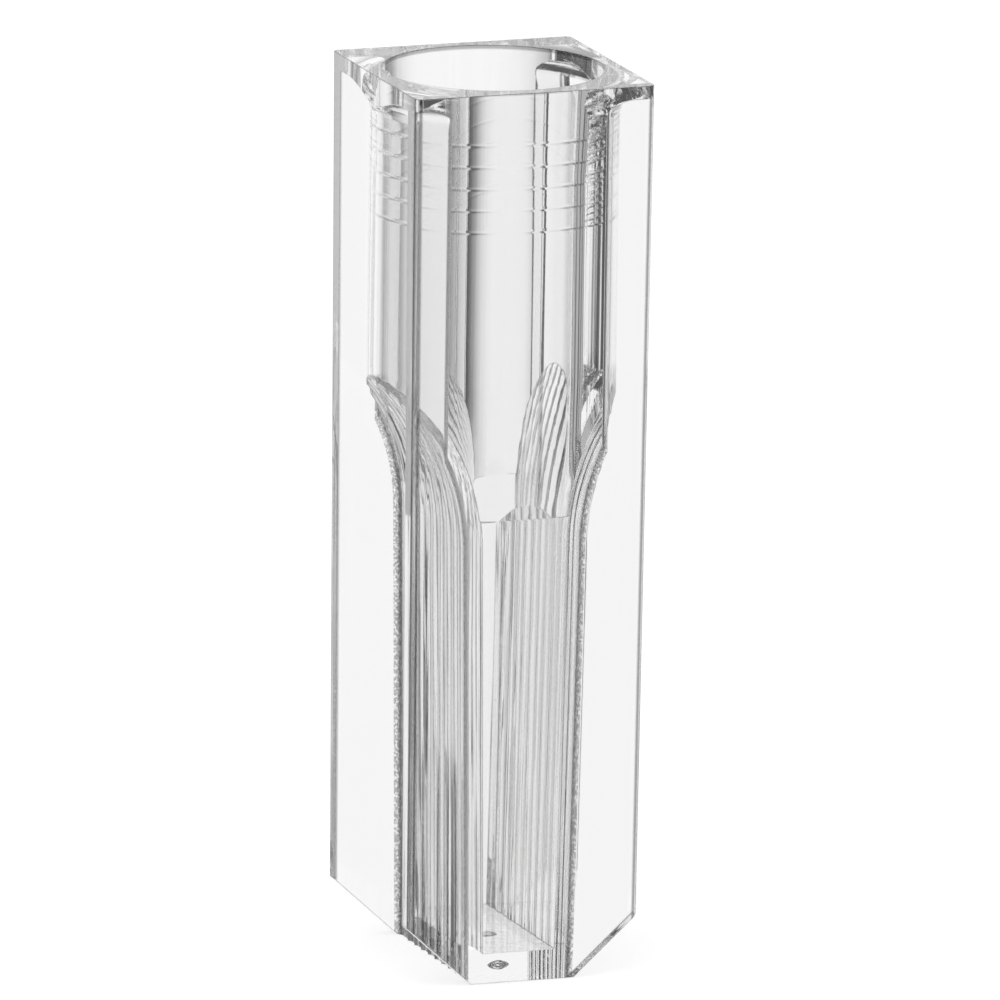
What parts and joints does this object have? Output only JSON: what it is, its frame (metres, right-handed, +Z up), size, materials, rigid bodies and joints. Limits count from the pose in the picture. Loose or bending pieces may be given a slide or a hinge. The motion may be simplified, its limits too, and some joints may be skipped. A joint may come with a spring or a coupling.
{
  "type": "cuvette",
  "caption": "Clear moulded cuvette with a square outline, round mouth and bore, and a narrow chamber between two full-width window plates and ribbed side walls that flare into the tube.",
  "frame": {"origin": "middle of the flat base", "axes": "+Z up along the bore, out of the mouth; the two window plates face -Y and +Y; the ribbed side walls face -X and +X"},
  "size_m": [0.0126, 0.0126, 0.045],
  "materials": {
    "clear_plastic": "polished"
  },
  "bodies": {
    "root": {"cuvette": "clear_plastic"}
  },
  "joints": []
}
